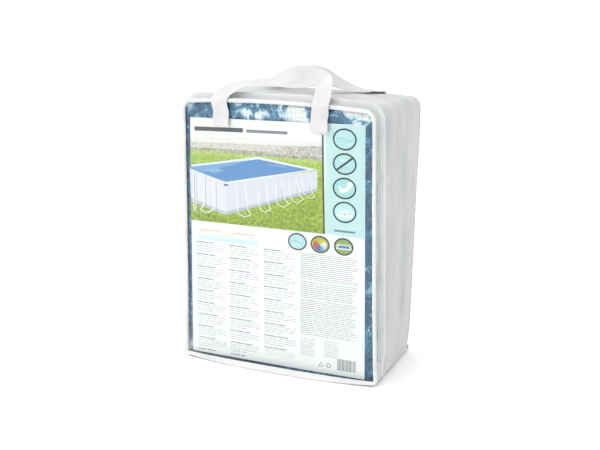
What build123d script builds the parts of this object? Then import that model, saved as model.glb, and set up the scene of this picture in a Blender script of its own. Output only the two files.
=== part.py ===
from build123d import *
import os
from math import atan2, copysign, cos, degrees, hypot, radians, sin

# A zipped carry bag of nonwoven fabric with a clear window, a printed card and a folded pool cover in it.
# Millimetres, +Z up. The origin is the middle of the base. The window is at -Y and the back panel at +Y.
# The zip runs up the -X side, over the top and down the +X side. Its closed end is low on the -X side.

# ---------- overall sizes, over the piping ----------
bag_width = 350.0
bag_depth = 190.0
bag_height = 450.0
top_corner = 18.0
bottom_corner = 8.0

# ---------- sheet goods ----------
fabric = 0.8
window_film = 0.5
card_stock = 0.5
seam_bite = 0.4  # how far a panel reaches into the piping round it
hinge_gap = 0.3  # between the piping that turns and the bag behind it

# ---------- piping ----------
front_piping = 6.0
rear_piping = 4.0
piping_skin = 0.8
cord_ease = 0.05
piping_proud = 1.0  # how far the piping stands out from the sides and the top

# ---------- zip ----------
zip_band = 17.0  # from the front piping to the seam behind the zip
tape = 0.6
tape_under = 5.0  # tape that lies under the side strip, behind the seam
coil_width = 1.75
coil_height = 1.6
coil_gap = 1.0
zip_foot = 38.0  # where tape and coils end, above the base

# ---------- folded seam behind the zip ----------
welt_thickness = 3.0
welt_height = 9.0
welt_foot = 8.0
welt_taper = 46.0  # the seam flattens out over this length above its foot
welt_end_height = 2.0

# ---------- handles ----------
strap_width = 30.0
strap = 1.5
leg_length = 45.0  # sewn stretch, down from the top edge
handle_span = 178.0  # between the middles of the two legs
handle_shift = 11.0  # the front pair stands this far to -X, the rear pair to +X
handle_reach = 94.0  # from the hinge to the middle of the strap at the top of the loop
handle_shoulder = 45.0
handle_lean = 34.6  # the loop's plane above level, in degrees, at rest
handle_bend = 22.0
strap_ease = 0.1
loop_ease = 0.3
leg_drop = 1.2  # from the top edge down to the end of the sewn stretch
leg_step_low = 14.0  # the strap leaves the panel this far below its end, to pass over the piping
leg_step_high = 6.0
leg_round = 6.0
loop_low_run = 39.0  # along the bag, from a leg to where the loop's top starts
loop_low_drop = 12.0
loop_high_run = 37.0
loop_high_drop = 16.0
stitch_width = 22.0
stitch_height = 22.0
thread = 0.6
thread_proud = 0.4

# ---------- what the bag holds ----------
cover_side_gap = 5.5
cover_head_gap = 7.2
cover_layers = 12
fold_slit = 1.0
fold_round = 6.0
card_left_gap = 3.7  # from the cover's edge to the card's
card_right_gap = 15.7
card_head_gap = 22.0
window_slack = 4.0  # between the window and the card
rest_gap = 0.2

# ---------- slider and pull tab ----------
slider_length = 9.5
slider_throat = 5.4
slider_mouth = 7.6
slider_plate = 0.9
slider_ease = 0.3
slider_round = 0.8
post_width = 0.8
post_length = 3.6
parked_height = 64.0  # middle of the slider at the closed end
bail_width = 1.6
bail_length = 5.2
bail_wall = 1.0
bail_rise = 2.4
bail_round = 1.3
pull_thickness = 0.9
pull_width = 5.0
pull_length = 26.0
pull_round = 1.6
eye_width = 2.6
eye_length = 4.2

# ---------- places that several pieces share ----------
side_x = bag_width / 2 - piping_proud
top_z = bag_height - piping_proud
strip_corner = top_corner - piping_proud
front_piping_y = front_piping / 2 - bag_depth / 2
rear_piping_y = bag_depth / 2 - rear_piping / 2
bag_front_y = front_piping_y + front_piping / 2 + hinge_gap
welt_front_y = front_piping_y + front_piping / 2 + zip_band
zip_middle_y = front_piping_y + front_piping / 2 + zip_band / 2
strip_foot = bottom_corner + 4.0
tape_x = side_x - fabric
tape_top = top_z - fabric
tape_corner = strip_corner - fabric
window_face = -front_piping_y + window_film / 2
back_face = rear_piping_y + fabric / 2
strap_out = bag_depth / 2 + strap_ease + strap / 2
handle_axis = bag_depth / 2 + strap_ease + strap + loop_ease + strap / 2
card_y = front_piping_y + window_film / 2 + window_slack
cover_front_y = card_y + card_stock + rest_gap
cover_back_y = rear_piping_y - rear_piping / 2 - rest_gap
inside_floor = fabric + rest_gap
cover_width = 2 * (side_x - fabric - cover_side_gap)
cover_height = top_z - fabric - cover_head_gap - inside_floor
card_width = cover_width - card_left_gap - card_right_gap
card_height = cover_height - card_head_gap
card_shift = (card_left_gap - card_right_gap) / 2


def at_y(y):
    """The upright plane across the bag at this y, whose outward side is the window's side."""
    return Plane.XZ.offset(-y)


def closed_outline(inset):
    """Adds the bag's outline seen from in front, this far inside the piping's outer edge, to a line."""
    half = bag_width / 2 - inset
    low = inset
    high = bag_height - inset
    corners = ((-half, low), (half, low), (half, high), (-half, high))
    round_low = bottom_corner - inset
    round_high = top_corner - inset
    return FilletPolyline(*corners, radius=(round_low, round_low, round_high, round_high), close=True)


def strip_profile(half_width, leg_end, turn, corner, thickness):
    """A strip seen end on: two legs that end at leg_end, and a run between them at turn."""
    inward = copysign(1.0, leg_end - turn)
    with BuildSketch() as profile:
        for inset, mode in ((0.0, Mode.ADD), (thickness, Mode.SUBTRACT)):
            half = half_width - inset
            level = turn + inward * inset
            corners = ((-half, leg_end), (-half, level), (half, level), (half, leg_end))
            with BuildLine():
                bend = FilletPolyline(*corners, radius=corner - inset)
                Line(bend @ 1, bend @ 0)
            make_face(mode=mode)
    return profile.sketch


def piping_rod(y, section, piping):
    """A closed rod of the given section radius, along the middle line of piping of the given size."""
    with BuildPart() as rod:
        with BuildLine(at_y(y)) as route:
            closed_outline(piping / 2)
        start = Plane(origin=route.line @ 0, z_dir=route.line % 0)
        with BuildSketch(start):
            Circle(section)
        sweep(path=route.line)
    return rod.part


# ---------- piping ----------
front_rod = piping_rod(front_piping_y, front_piping / 2, front_piping)
front_hollow = piping_rod(front_piping_y, front_piping / 2 - piping_skin, front_piping)
rear_rod = piping_rod(rear_piping_y, rear_piping / 2, rear_piping)
rear_hollow = piping_rod(rear_piping_y, rear_piping / 2 - piping_skin, rear_piping)
front_core = piping_rod(front_piping_y, front_piping / 2 - piping_skin - cord_ease, front_piping)
rear_core = piping_rod(rear_piping_y, rear_piping / 2 - piping_skin - cord_ease, rear_piping)

with BuildPart() as front_piping_cord:
    add(front_core)

with BuildPart() as rear_piping_cord:
    add(rear_core)

# ---------- window and back panel, sewn into the piping round them ----------
with BuildPart() as front_window:
    with BuildSketch(at_y(front_piping_y + window_film / 2)):
        with BuildLine():
            closed_outline(front_piping - seam_bite)
        make_face()
    extrude(amount=window_film)

with BuildPart() as back_panel:
    with BuildSketch(at_y(rear_piping_y + fabric / 2)):
        with BuildLine():
            closed_outline(rear_piping - seam_bite)
        make_face()
    extrude(amount=fabric)

with BuildPart() as front_piping_sleeve:
    add(front_rod)
    add(front_hollow, mode=Mode.SUBTRACT)
    add(front_window.part, mode=Mode.SUBTRACT)

with BuildPart() as rear_piping_sleeve:
    add(rear_rod)
    add(rear_hollow, mode=Mode.SUBTRACT)
    add(back_panel.part, mode=Mode.SUBTRACT)

# ---------- side strip, bottom panel and the wedges below the zip ----------
with BuildPart() as gusset_strip:
    with BuildSketch(at_y(rear_piping_y)):
        add(strip_profile(side_x, strip_foot, top_z, strip_corner, fabric))
    extrude(amount=rear_piping_y - welt_front_y)
    add(rear_rod, mode=Mode.SUBTRACT)

with BuildPart() as zip_end_tabs:
    with BuildSketch(at_y(welt_front_y)):
        for side in (-1, 1):
            with Locations((side * (side_x - fabric / 2), (strip_foot + zip_foot) / 2)):
                Rectangle(fabric, zip_foot - strip_foot)
    extrude(amount=welt_front_y - bag_front_y)

with BuildPart() as bottom_panel:
    with BuildSketch(at_y(rear_piping_y)):
        add(strip_profile(side_x, strip_foot, 0.0, bottom_corner - piping_proud, fabric))
    extrude(amount=rear_piping_y - bag_front_y)
    add(rear_rod, mode=Mode.SUBTRACT)

# ---------- folded seam that stands out behind the zip ----------
with BuildPart() as mid_welt:
    with BuildSketch(at_y(welt_front_y + welt_thickness)):
        out = welt_height
        add(strip_profile(side_x + out, welt_foot, top_z + out, strip_corner + out, out))
        for side in (-1, 1):
            with BuildLine():
                Polyline(
                    (side * (side_x + welt_end_height), welt_foot),
                    (side * (side_x + welt_height), welt_foot + welt_taper),
                    (side * bag_width, welt_foot + welt_taper),
                    (side * bag_width, welt_foot),
                    close=True,
                )
            make_face(mode=Mode.SUBTRACT)
    extrude(amount=welt_thickness)

# ---------- zip tapes and coils ----------
front_coil_y = zip_middle_y - coil_gap / 2
rear_coil_y = zip_middle_y + coil_gap / 2

with BuildPart() as front_zip_tape:
    with BuildSketch(at_y(front_coil_y)):
        add(strip_profile(tape_x, zip_foot, tape_top, tape_corner, tape))
    extrude(amount=front_coil_y - front_piping_y)
    add(front_rod, mode=Mode.SUBTRACT)

with BuildPart() as rear_zip_tape:
    with BuildSketch(at_y(welt_front_y + tape_under)):
        add(strip_profile(tape_x, zip_foot, tape_top, tape_corner, tape))
    extrude(amount=welt_front_y + tape_under - rear_coil_y)


def zip_coil(y):
    """One half of the zip's coil, from y forward, standing on the outer face of its tape."""
    out = coil_height
    with BuildPart() as coil:
        with BuildSketch(at_y(y)):
            add(strip_profile(tape_x + out, zip_foot, tape_top + out, tape_corner + out, out))
        extrude(amount=coil_width)
    return coil.part


front_coil = zip_coil(front_coil_y)
rear_coil = zip_coil(rear_coil_y + coil_width)

with BuildPart() as front_zip_coil:
    add(front_coil)

with BuildPart() as rear_zip_coil:
    add(rear_coil)

# ---------- what the bag holds ----------
with BuildPart() as folded_cover:
    cover_depth = cover_back_y - cover_front_y
    layer = cover_depth / cover_layers
    with BuildSketch(Plane.XY.offset(inside_floor)):
        with Locations((0.0, (cover_front_y + cover_back_y) / 2)):
            RectangleRounded(cover_width, cover_depth, fold_round)
        for fold in range(1, cover_layers):
            side = 1 if fold % 2 else -1
            with Locations((side * layer / 2, cover_front_y + fold * layer)):
                Rectangle(cover_width - layer, fold_slit, mode=Mode.SUBTRACT)
    extrude(amount=cover_height)

with BuildPart() as insert_card:
    with BuildSketch(at_y(card_y + card_stock)):
        with Locations((card_shift, inside_floor + card_height / 2)):
            Rectangle(card_width, card_height)
    extrude(amount=card_stock)


# ---------- handles: side is -1 for the front pair and 1 for the rear pair ----------
def leg_places(side):
    """The x of the middle of each leg."""
    middle = side * handle_shift
    return (middle - handle_span / 2, middle + handle_span / 2)


def handle_legs(side, face):
    """Two sewn strap ends: flat on the panel whose outer face is at face, then out over the piping."""
    top = bag_height - leg_drop
    foot = bag_height - leg_length
    on_panel = side * (face + strap / 2)
    over_piping = side * strap_out
    with BuildPart() as legs:
        for x in leg_places(side):
            with BuildSketch(Plane.YZ.offset(x - strap_width / 2)):
                with BuildLine():
                    FilletPolyline(
                        (on_panel, foot),
                        (on_panel, top - leg_step_low),
                        (over_piping, top - leg_step_high),
                        (over_piping, top),
                        radius=leg_round,
                    )
                trace(line_width=strap)
            extrude(amount=strap_width)
    return legs.part


def handle_stitching(side, face):
    """A sewn box with two diagonals on each leg, a little proud of the strap."""
    y = side * (face + strap)
    foot = bag_height - leg_length
    middle = foot + (strap_width - stitch_width) / 2 + stitch_height / 2
    tilt = degrees(atan2(stitch_height, stitch_width))
    with BuildPart() as seams:
        for x in leg_places(side):
            with BuildSketch(at_y(y)):
                with Locations((x, middle)):
                    Rectangle(stitch_width, stitch_height)
                    Rectangle(stitch_width - 2 * thread, stitch_height - 2 * thread, mode=Mode.SUBTRACT)
                    for turn in (tilt, -tilt):
                        Rectangle(hypot(stitch_width, stitch_height) - 2 * thread, thread, rotation=turn)
            extrude(amount=-side * thread_proud)
    return seams.part


def handle_loop(side):
    """A flat arch of strap in a plane that leans over the bag's top from the hinge at its edge."""
    low_leg, high_leg = leg_places(-1)
    lean = radians(handle_lean)
    hinge = Plane(origin=(0, -handle_axis, bag_height), x_dir=(1, 0, 0), z_dir=(0, -sin(lean), cos(lean)))
    with BuildPart() as loop:
        with BuildSketch(hinge):
            with BuildLine():
                FilletPolyline(
                    (low_leg, 0.0),
                    (low_leg, handle_shoulder),
                    (low_leg + loop_low_run, handle_reach - loop_low_drop),
                    (high_leg - loop_high_run, handle_reach),
                    (high_leg, handle_reach - loop_high_drop),
                    (high_leg, 0.0),
                    radius=handle_bend,
                )
            trace(line_width=strap_width)
        extrude(amount=strap / 2, both=True)
    return loop.part if side < 0 else loop.part.rotate(Axis.Z, 180)


with BuildPart() as front_handle_legs:
    add(handle_legs(-1, window_face))

with BuildPart() as rear_handle_legs:
    add(handle_legs(1, back_face))

with BuildPart() as front_handle_stitching:
    add(handle_stitching(-1, window_face))

with BuildPart() as rear_handle_stitching:
    add(handle_stitching(1, back_face))

with BuildPart() as front_handle_loop:
    add(handle_loop(-1))

with BuildPart() as rear_handle_loop:
    add(handle_loop(1))

# ---------- slider, parked on the -X side ----------
plate_out = -(tape_x + coil_height + slider_ease)
plate_in = -(tape_x - tape - slider_ease)

with BuildPart() as slider_body:
    for x in (plate_out - slider_plate, plate_in):
        with BuildSketch(Plane.YZ.offset(x)) as plate:
            with BuildLine():
                low = parked_height - slider_length / 2
                high = parked_height + slider_length / 2
                Polyline(
                    (zip_middle_y - slider_mouth / 2, low),
                    (zip_middle_y + slider_mouth / 2, low),
                    (zip_middle_y + slider_mouth / 2, parked_height),
                    (zip_middle_y + slider_throat / 2, high),
                    (zip_middle_y - slider_throat / 2, high),
                    (zip_middle_y - slider_mouth / 2, parked_height),
                    close=True,
                )
            make_face()
            fillet(plate.vertices(), slider_round)
        extrude(amount=slider_plate)
    with BuildSketch(Plane.YZ.offset(plate_out)):
        with Locations((zip_middle_y, low + post_length / 2 + slider_plate)):
            Rectangle(post_width, post_length)
    extrude(amount=plate_in - plate_out)

bail_face = plate_out - slider_plate

with BuildPart() as slider_bail:
    with BuildSketch(at_y(zip_middle_y + bail_width / 2)):
        for inset, mode in ((0.0, Mode.ADD), (bail_wall, Mode.SUBTRACT)):
            half = bail_length / 2 - inset
            peak = bail_face - bail_rise + inset
            corners = (
                (bail_face, parked_height - half),
                (peak, parked_height - half),
                (peak, parked_height + half),
                (bail_face, parked_height + half),
            )
            with BuildLine():
                bend = FilletPolyline(*corners, radius=bail_round - inset)
                Line(bend @ 1, bend @ 0)
            make_face(mode=mode)
    extrude(amount=bail_width)

pull_x = bail_face - (bail_rise - bail_wall) / 2

with BuildPart() as pull_tab:
    with BuildSketch(Plane.YZ.offset(pull_x - pull_thickness / 2)) as tab:
        with Locations((zip_middle_y, parked_height + pull_thickness / 2 - pull_length / 2)):
            Rectangle(pull_width, pull_length)
        fillet(tab.vertices(), pull_round)
        with Locations((zip_middle_y, parked_height - pull_thickness / 2 - eye_length / 2)):
            Rectangle(eye_width, eye_length, mode=Mode.SUBTRACT)
    extrude(amount=pull_thickness)

# ---------- names and files ----------
pieces = {
    "gusset_strip": gusset_strip,
    "bottom_panel": bottom_panel,
    "back_panel": back_panel,
    "rear_piping_sleeve": rear_piping_sleeve,
    "rear_piping_cord": rear_piping_cord,
    "mid_welt": mid_welt,
    "rear_zip_tape": rear_zip_tape,
    "rear_zip_coil": rear_zip_coil,
    "zip_end_tabs": zip_end_tabs,
    "folded_cover": folded_cover,
    "insert_card": insert_card,
    "rear_handle_legs": rear_handle_legs,
    "rear_handle_stitching": rear_handle_stitching,
    "front_window": front_window,
    "front_piping_sleeve": front_piping_sleeve,
    "front_piping_cord": front_piping_cord,
    "front_zip_tape": front_zip_tape,
    "front_zip_coil": front_zip_coil,
    "front_handle_legs": front_handle_legs,
    "front_handle_stitching": front_handle_stitching,
    "front_handle_loop": front_handle_loop,
    "rear_handle_loop": rear_handle_loop,
    "slider_body": slider_body,
    "slider_bail": slider_bail,
    "pull_tab": pull_tab,
}

os.makedirs("parts", exist_ok=True)
for name, piece in pieces.items():
    piece.part.label = name
    export_step(piece.part, f"parts/{name}.step")
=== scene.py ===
import bpy
import numpy as np
from math import cos, pi, radians, sin
from mathutils import Matrix, Vector


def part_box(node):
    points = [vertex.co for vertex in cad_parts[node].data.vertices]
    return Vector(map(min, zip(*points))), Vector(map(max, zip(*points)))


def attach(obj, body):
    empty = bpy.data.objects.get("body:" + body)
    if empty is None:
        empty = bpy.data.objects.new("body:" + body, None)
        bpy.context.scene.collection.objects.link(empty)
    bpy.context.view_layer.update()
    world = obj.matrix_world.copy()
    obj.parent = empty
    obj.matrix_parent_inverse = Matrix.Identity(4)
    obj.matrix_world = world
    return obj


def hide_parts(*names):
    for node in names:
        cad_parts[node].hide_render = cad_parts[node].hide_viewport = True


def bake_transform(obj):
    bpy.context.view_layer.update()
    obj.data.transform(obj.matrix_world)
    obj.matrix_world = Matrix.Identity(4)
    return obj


# A zipped carry bag of white nonwoven fabric with a clear window, a printed card and a folded blue pool
# cover.
# Shapes are worked out in millimetres and become metres when a mesh is made.
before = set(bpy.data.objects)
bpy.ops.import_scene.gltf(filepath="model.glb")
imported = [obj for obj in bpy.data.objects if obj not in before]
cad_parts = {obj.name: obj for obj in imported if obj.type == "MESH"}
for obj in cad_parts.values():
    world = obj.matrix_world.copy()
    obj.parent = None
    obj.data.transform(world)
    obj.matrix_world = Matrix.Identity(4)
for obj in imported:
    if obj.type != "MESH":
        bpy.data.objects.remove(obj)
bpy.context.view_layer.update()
MM = 0.001

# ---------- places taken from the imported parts, in millimetres ----------
def reach(node, axis, side):
    """The lowest (side 0) or highest (side 1) place of a CAD node along an axis, in millimetres."""
    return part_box(node)[side][axis] / MM


SIDE = reach("gusset_strip", 0, 1)
TOP = reach("gusset_strip", 2, 1)
WELT_OUT = reach("mid_welt", 0, 1) - SIDE
WELT_Y = (reach("mid_welt", 1, 0), reach("mid_welt", 1, 1))
WELT_FOOT = reach("mid_welt", 2, 0)
FRONT_PIPE = (reach("front_piping_sleeve", 1, 1) - reach("front_piping_sleeve", 1, 0)) / 2
REAR_PIPE = (reach("rear_piping_sleeve", 1, 1) - reach("rear_piping_sleeve", 1, 0)) / 2
FRONT_PIPE_Y = reach("front_piping_sleeve", 1, 0) + FRONT_PIPE
REAR_PIPE_Y = reach("rear_piping_sleeve", 1, 1) - REAR_PIPE
FRONT_CORD = (reach("front_piping_cord", 1, 1) - reach("front_piping_cord", 1, 0)) / 2
REAR_CORD = (reach("rear_piping_cord", 1, 1) - reach("rear_piping_cord", 1, 0)) / 2
HALF = reach("front_piping_sleeve", 0, 1)
HEIGHT = reach("front_piping_sleeve", 2, 1)
WINDOW_Y = reach("front_window", 1, 0)
WINDOW_FILM = reach("front_window", 1, 1) - WINDOW_Y
BACK_Y = reach("back_panel", 1, 1)
CARD = (reach("insert_card", 0, 0), reach("insert_card", 0, 1), reach("insert_card", 2, 0),
        reach("insert_card", 2, 1))
CARD_Y = reach("insert_card", 1, 0)
COVER_HALF = reach("folded_cover", 0, 1)
COVER_Y = (reach("folded_cover", 1, 0), reach("folded_cover", 1, 1))
COVER_TOP = reach("folded_cover", 2, 1)
TAPE_X = reach("front_zip_tape", 0, 1)
TAPE_FOOT = reach("front_zip_tape", 2, 0)
TOP_CORNER = 18.0
FOOT_CORNER = 8.0
CLOTH = 0.8  # thickness of the nonwoven
STRIP_FOOT = reach("gusset_strip", 2, 0)


# ---------- how the filled bag sits ----------
def ease(t):
    """A smooth step: 3t^2 - 2t^3 of t held between 0 and 1."""
    t = np.clip(t, 0.0, 1.0)
    return t * t * (3 - 2 * t)


REST_Z = np.array([0.0, 6.0, 15.0, 30.0, 55.0, 100.0, 200.0, 300.0, 380.0, 450.0])
REAR_OUT = np.array([-2.0, -4.0, -6.0, -4.5, -3.0, -2.2, -1.0, 0.8, 2.4, 3.0])
REAR_BACK = np.array([-2.0, -6.0, -9.0, -8.0, -6.0, -4.0, -1.0, 1.0, 3.0, 4.0])


def settle(p, swell=1.0):
    """Moves points of the true box shape to where the filled bag sags and swells: the front narrows towards
    the top, but on the -X side it stays true along the zip, where the slider runs, and only its piping moves,
    outwards near the foot; the top edges arch, the base corners lift, the front swells low down by its share
    of swell, and the back leans in over its foot."""
    x, y, z = p[..., 0], p[..., 1], p[..., 2]
    h = np.clip(z / HEIGHT, 0.0, 1.05)
    across = np.clip(1 - (x / HALF) ** 2, 0.0, 1.0)
    front = np.clip((REAR_PIPE_Y - y) / (REAR_PIPE_Y - WELT_Y[1]), 0.0, 1.0)
    rear = 1 - front
    low = np.clip(1 - h, 0, 1)
    rim = np.clip((-85.0 - y) / 4.0, 0.0, 1.0)
    narrow = np.where(x > 0, 2.5 - 8.5 * h + 2.5 * low ** 8, rim * (5.5 * low ** 4 - 1.5 * h))
    share = np.clip(np.abs(x) / HALF, 0.0, 1.1)
    dx = np.sign(x) * share * (front * narrow + rear * np.interp(z, REST_Z, REAR_OUT))
    dy = rear * np.interp(z, REST_Z, REAR_BACK)
    dy = dy - swell * front * across * (14.0 * low ** 7 + 1.5 * np.sin(pi * np.clip(h, 0, 1)))
    dz = across * ease((h - 0.7) / 0.3) * (7.0 * front + 5.0 * rear)
    dz = dz + 3.0 * share ** 4 * low ** 9 * (0.6 + 0.4 * front)
    return np.stack([x + dx, y + dy, z + dz], -1)


def creases(u, v, marks):
    """Sum of folds in the cloth: each mark is (u, v, direction in degrees, half length, half width, height),
    and adds height times a bell curve across its line and a flatter bell along it."""
    total = np.zeros_like(u)
    for mu, mv, turn, long, wide, high in marks:
        c, s = cos(radians(turn)), sin(radians(turn))
        along = (u - mu) * c + (v - mv) * s
        aside = (v - mv) * c - (u - mu) * s
        total = total + high * np.exp(-(aside / wide) ** 2) * np.exp(-(along / long) ** 4)
    return total


def ripple(u, v, size, seed, terms=7):
    """Soft irregular unevenness, about 1 high: sines of random direction and phase whose waves are near
    size long."""
    rng = np.random.default_rng(seed)
    total = np.zeros_like(u)
    for _ in range(terms):
        turn = rng.uniform(0, 2 * pi)
        k = 2 * pi / (size * rng.uniform(0.7, 1.6))
        total = total + np.sin(k * (u * cos(turn) + v * sin(turn)) + rng.uniform(0, 2 * pi))
    return total / terms ** 0.5


# ---------- making meshes ----------
class Cut:
    """Gathers the surfaces of one piece, in millimetres, and makes its mesh in metres."""

    def __init__(self):
        self.points, self.faces, self.uv, self.finish, self.ink = [], [], [], [], []
        self.count = 0

    def take(self, points, faces, uv, finish, ink):
        self.points.append(points)
        self.faces += [[i + self.count for i in f] for f in faces]
        self.uv.append(uv)
        self.finish += [finish] * len(faces)
        self.ink.append(np.tile(np.array(ink, float), (len(points), 1)))
        self.count += len(points)

    def grid(self, p, uv=None, around=False, closed=False, caps=False, finish=0, ink=(1, 1, 1, 0)):
        """A skin over a grid of points: rows run along a path and columns across it. around joins the last
        column to the first, closed joins the last row to the first, and caps adds a face at each end of
        the path."""
        n, m = p.shape[:2]
        rows = n if closed else n - 1
        cols = m if around else m - 1
        i, j = np.meshgrid(np.arange(rows), np.arange(cols), indexing="ij")
        i2, j2 = (i + 1) % n, (j + 1) % m
        quads = np.stack([i * m + j, i2 * m + j, i2 * m + j2, i * m + j2], -1).reshape(-1, 4)
        if uv is None:
            flat = np.concatenate([p, p[:1]], 0) if closed else p
            step = np.linalg.norm(np.diff(flat, axis=0), axis=-1).mean(1)
            lu = np.concatenate([[0.0], np.cumsum(step)])
            flat = np.concatenate([p, p[:, :1]], 1) if around else p
            step = np.linalg.norm(np.diff(flat, axis=1), axis=-1).mean(0)
            lv = np.concatenate([[0.0], np.cumsum(step)])
            uv = np.stack(np.meshgrid(lu, lv, indexing="ij"), -1)
        loops = np.stack([uv[i, j], uv[i + 1, j], uv[i + 1, j + 1], uv[i, j + 1]], 2).reshape(-1, 2)
        faces = quads.tolist()
        if caps:
            faces += [list(range(m))[::-1], [(n - 1) * m + k for k in range(m)]]
            loops = np.concatenate([loops, uv[0, :m][::-1], uv[-1, :m]], 0)
        points = p.reshape(-1, 3)
        q = points[quads]
        size = np.einsum("ij,ij->i", q[:, 0], np.cross(q[:, 1], q[:, 2]) + np.cross(q[:, 2], q[:, 3])).sum()
        if (closed or caps) and size < 0:
            faces = [f[::-1] for f in faces]
            ends = np.cumsum([len(f) for f in faces])
            order = np.concatenate([np.arange(e - 1, e - len(f) - 1, -1) for e, f in zip(ends, faces)])
            loops = loops[order]
        self.take(points, faces, loops, finish, ink)
        return self

    def shell(self, p, thick, finish=0, ink=(1, 1, 1, 0)):
        """A closed sheet: the grid is its outer face, a second face lies thick behind it, and walls join
        them."""
        n, m = p.shape[:2]
        normal = np.cross(np.gradient(p, axis=0), np.gradient(p, axis=1))
        normal /= np.linalg.norm(normal, axis=-1, keepdims=True) + 1e-12
        loop = np.concatenate([p, (p - normal * thick)[:, ::-1]], 1)
        lu = np.concatenate([[0.0], np.cumsum(np.linalg.norm(np.diff(p, axis=0), axis=-1).mean(1))])
        lv = np.concatenate([[0.0], np.cumsum(np.linalg.norm(np.diff(p, axis=1), axis=-1).mean(0))])
        uv = np.stack(np.meshgrid(lu, lv, indexing="ij"), -1)
        uv = np.concatenate([uv, uv[:, ::-1], uv[:, :1]], 1)
        k = 2 * m
        i, j = np.meshgrid(np.arange(n - 1), np.arange(k), indexing="ij")
        j2 = (j + 1) % k
        quads = np.stack([i * k + j, (i + 1) * k + j, (i + 1) * k + j2, i * k + j2], -1).reshape(-1, 4)
        loops = np.stack([uv[i, j], uv[i + 1, j], uv[i + 1, j + 1], uv[i, j + 1]], 2).reshape(-1, 2)
        c = np.arange(m - 1)
        low = np.stack([c, c + 1, k - 2 - c, k - 1 - c], -1)
        high = low[:, ::-1]
        quads = np.concatenate([quads, low, (n - 1) * k + high], 0)
        loops = np.concatenate([loops, uv[0, low].reshape(-1, 2), uv[n - 1, high].reshape(-1, 2)], 0)
        self.take(loop.reshape(-1, 3), quads.tolist(), loops, finish, ink)
        return self

    def make(self, name, body, slot, materials, stands_for=(), smooth=True, sharp=50.0):
        """The finished piece: mesh, map in metres, ink colours, materials, and the body it rides on."""
        mesh = bpy.data.meshes.new(name)
        mesh.from_pydata((np.concatenate(self.points) * MM).tolist(), [], self.faces)
        uv = mesh.uv_layers.new(name="cut")
        uv.data.foreach_set("uv", (np.concatenate(self.uv) * MM).astype(np.float32).ravel())
        for m in materials:
            mesh.materials.append(m)
        mesh.polygons.foreach_set("material_index", np.array(self.finish, np.int32))
        ink = np.concatenate(self.ink)
        if ink.min() < 1:
            tint = mesh.attributes.new("ink", "FLOAT_COLOR", "POINT")
            tint.data.foreach_set("color", ink.astype(np.float32).ravel())
        mesh.polygons.foreach_set("use_smooth", np.full(len(mesh.polygons), smooth))
        mesh.update()
        if smooth:
            mesh.set_sharp_from_angle(angle=radians(sharp))
        piece = bpy.data.objects.new(name, mesh)
        bpy.context.scene.collection.objects.link(piece)
        if body:
            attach(piece, body)
        if stands_for:
            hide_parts(*stands_for)
        return piece


def track(corners, radii, step, closed=False):
    """Points evenly step apart along straight runs joined by arcs, seen from the window side as (x, z),
    with the direction out of the path to the left, and the length so far."""
    pts = []
    count = len(corners)
    for k, (here, r) in enumerate(zip(np.array(corners, float), radii)):
        if not closed and k in (0, count - 1):
            pts.append(here)
            continue
        a = np.array(corners[k - 1], float) - here
        b = np.array(corners[(k + 1) % count], float) - here
        a /= np.linalg.norm(a)
        b /= np.linalg.norm(b)
        half = np.arccos(np.clip(a @ b, -1, 1)) / 2
        centre = here + (a + b) / np.linalg.norm(a + b) * r / sin(half)
        start = here + a * r / np.tan(half) - centre
        end = here + b * r / np.tan(half) - centre
        t = np.linspace(0, 1, 13)[:, None]
        arc = start * np.sin((1 - t) * (pi / 2 - half) * 2) + end * np.sin(t * (pi / 2 - half) * 2)
        arc = arc / np.linalg.norm(arc, axis=1, keepdims=True) * r
        pts += list(centre + arc)
    pts = np.array(pts + ([pts[0]] if closed else []))
    run = np.concatenate([[0.0], np.cumsum(np.linalg.norm(np.diff(pts, axis=0), axis=1))])
    n = int(round(run[-1] / step))
    s = np.linspace(0, run[-1], n + 1)
    s = s[:-1] if closed else s
    out = np.stack([np.interp(s, run, pts[:, k]) for k in (0, 1)], -1)
    if closed:
        d = np.roll(out, -1, 0) - np.roll(out, 1, 0)
    else:
        d = np.gradient(out, axis=0)
    d /= np.linalg.norm(d, axis=1, keepdims=True)
    return out, np.stack([-d[:, 1], d[:, 0]], -1), s


def outline(inset, step):
    """The bag's closed outline seen from the window side, this far inside the piping's outer edge."""
    half, low, high = HALF - inset, inset, HEIGHT - inset
    low_r, high_r = max(FOOT_CORNER - inset, 0.5), TOP_CORNER - inset
    corners = [(-half, low), (-half, high), (half, high), (half, low)]
    return track(corners, [low_r, high_r, high_r, low_r], step, closed=True)


def arch(inset, foot, step):
    """Up the -X side from foot, over the top and down the +X side, this far inside the side strip's outer
    face."""
    half, high = SIDE - inset, TOP - inset
    corners = [(-half, foot), (-half, high), (half, high), (half, foot)]
    corner = TOP_CORNER - (HALF - SIDE) - inset
    return track(corners, [0, corner, corner, 0], step)


def level(xz, y):
    """Points (x, z) set at y, as points in space."""
    return np.stack([xz[..., 0], np.broadcast_to(y, xz[..., 0].shape), xz[..., 1]], -1)


def spread(xz, out, y, lift):
    """A strip over a path: each path point (a row) is taken to the places y, and lifted along the path's
    outward direction."""
    return (level(xz, 0.0)[:, None, :] + np.stack([0 * y, y, 0 * y], -1)
            + lift[..., None] * level(out, 0.0)[:, None, :])


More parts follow.
